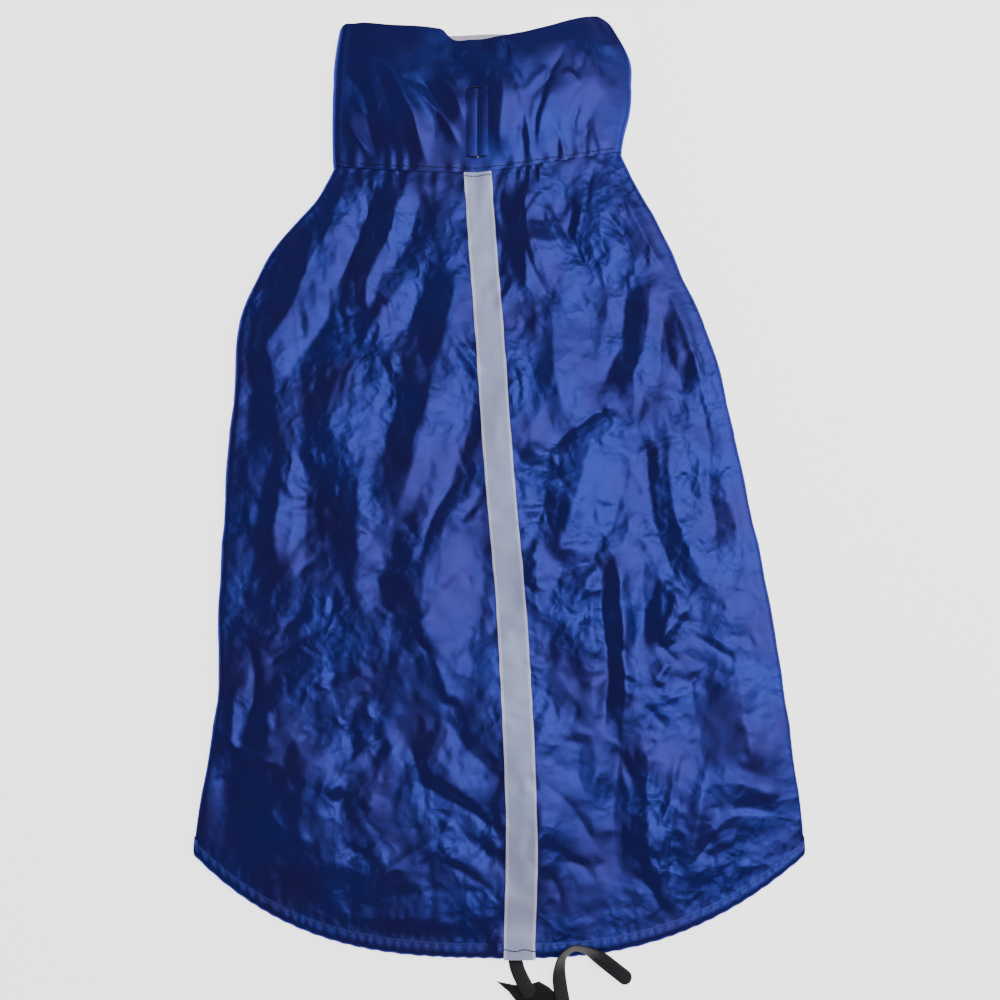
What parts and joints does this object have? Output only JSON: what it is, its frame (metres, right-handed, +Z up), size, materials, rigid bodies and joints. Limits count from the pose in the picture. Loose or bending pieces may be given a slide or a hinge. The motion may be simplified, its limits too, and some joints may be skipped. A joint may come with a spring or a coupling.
{
  "type": "dog raincoat",
  "caption": "Dog raincoat in crinkled blue nylon, laid flat with its back up: tall collar with a leash slit, reflective tape down the back, gathered curved tail hem and a black strap.",
  "frame": {"origin": "middle of the base of the coat without its strap, on the surface that it lies on", "axes": "+Y from the tail hem to the collar, +Z up out of the surface towards the back of the coat, +X to the right with the collar away from the viewer"},
  "size_m": [0.396, 0.7202, 0.0251],
  "materials": {
    "nylon_shell": "crinkled coated nylon taffeta with a soft sheen",
    "pale_lining": "matt brushed knit",
    "reflective_tape": "satin grey reflective coating",
    "black_webbing": "ribbed woven webbing",
    "black_nap": "matt napped pile"
  },
  "bodies": {
    "root": {"back_panel": "nylon_shell", "chest_panel": "nylon_shell", "belly_panel": "nylon_shell", "collar_left": "nylon_shell", "collar_right": "nylon_shell", "slit_welt_left": "nylon_shell", "slit_welt_right": "nylon_shell", "hem_casing": "nylon_shell", "collar_lining": "pale_lining", "reflective_tape": "reflective_tape", "strap_sewn_run": "black_webbing", "strap_free_run": "black_webbing", "strap_end_fold": "black_webbing", "strap_patch": "black_nap"}
  },
  "joints": []
}
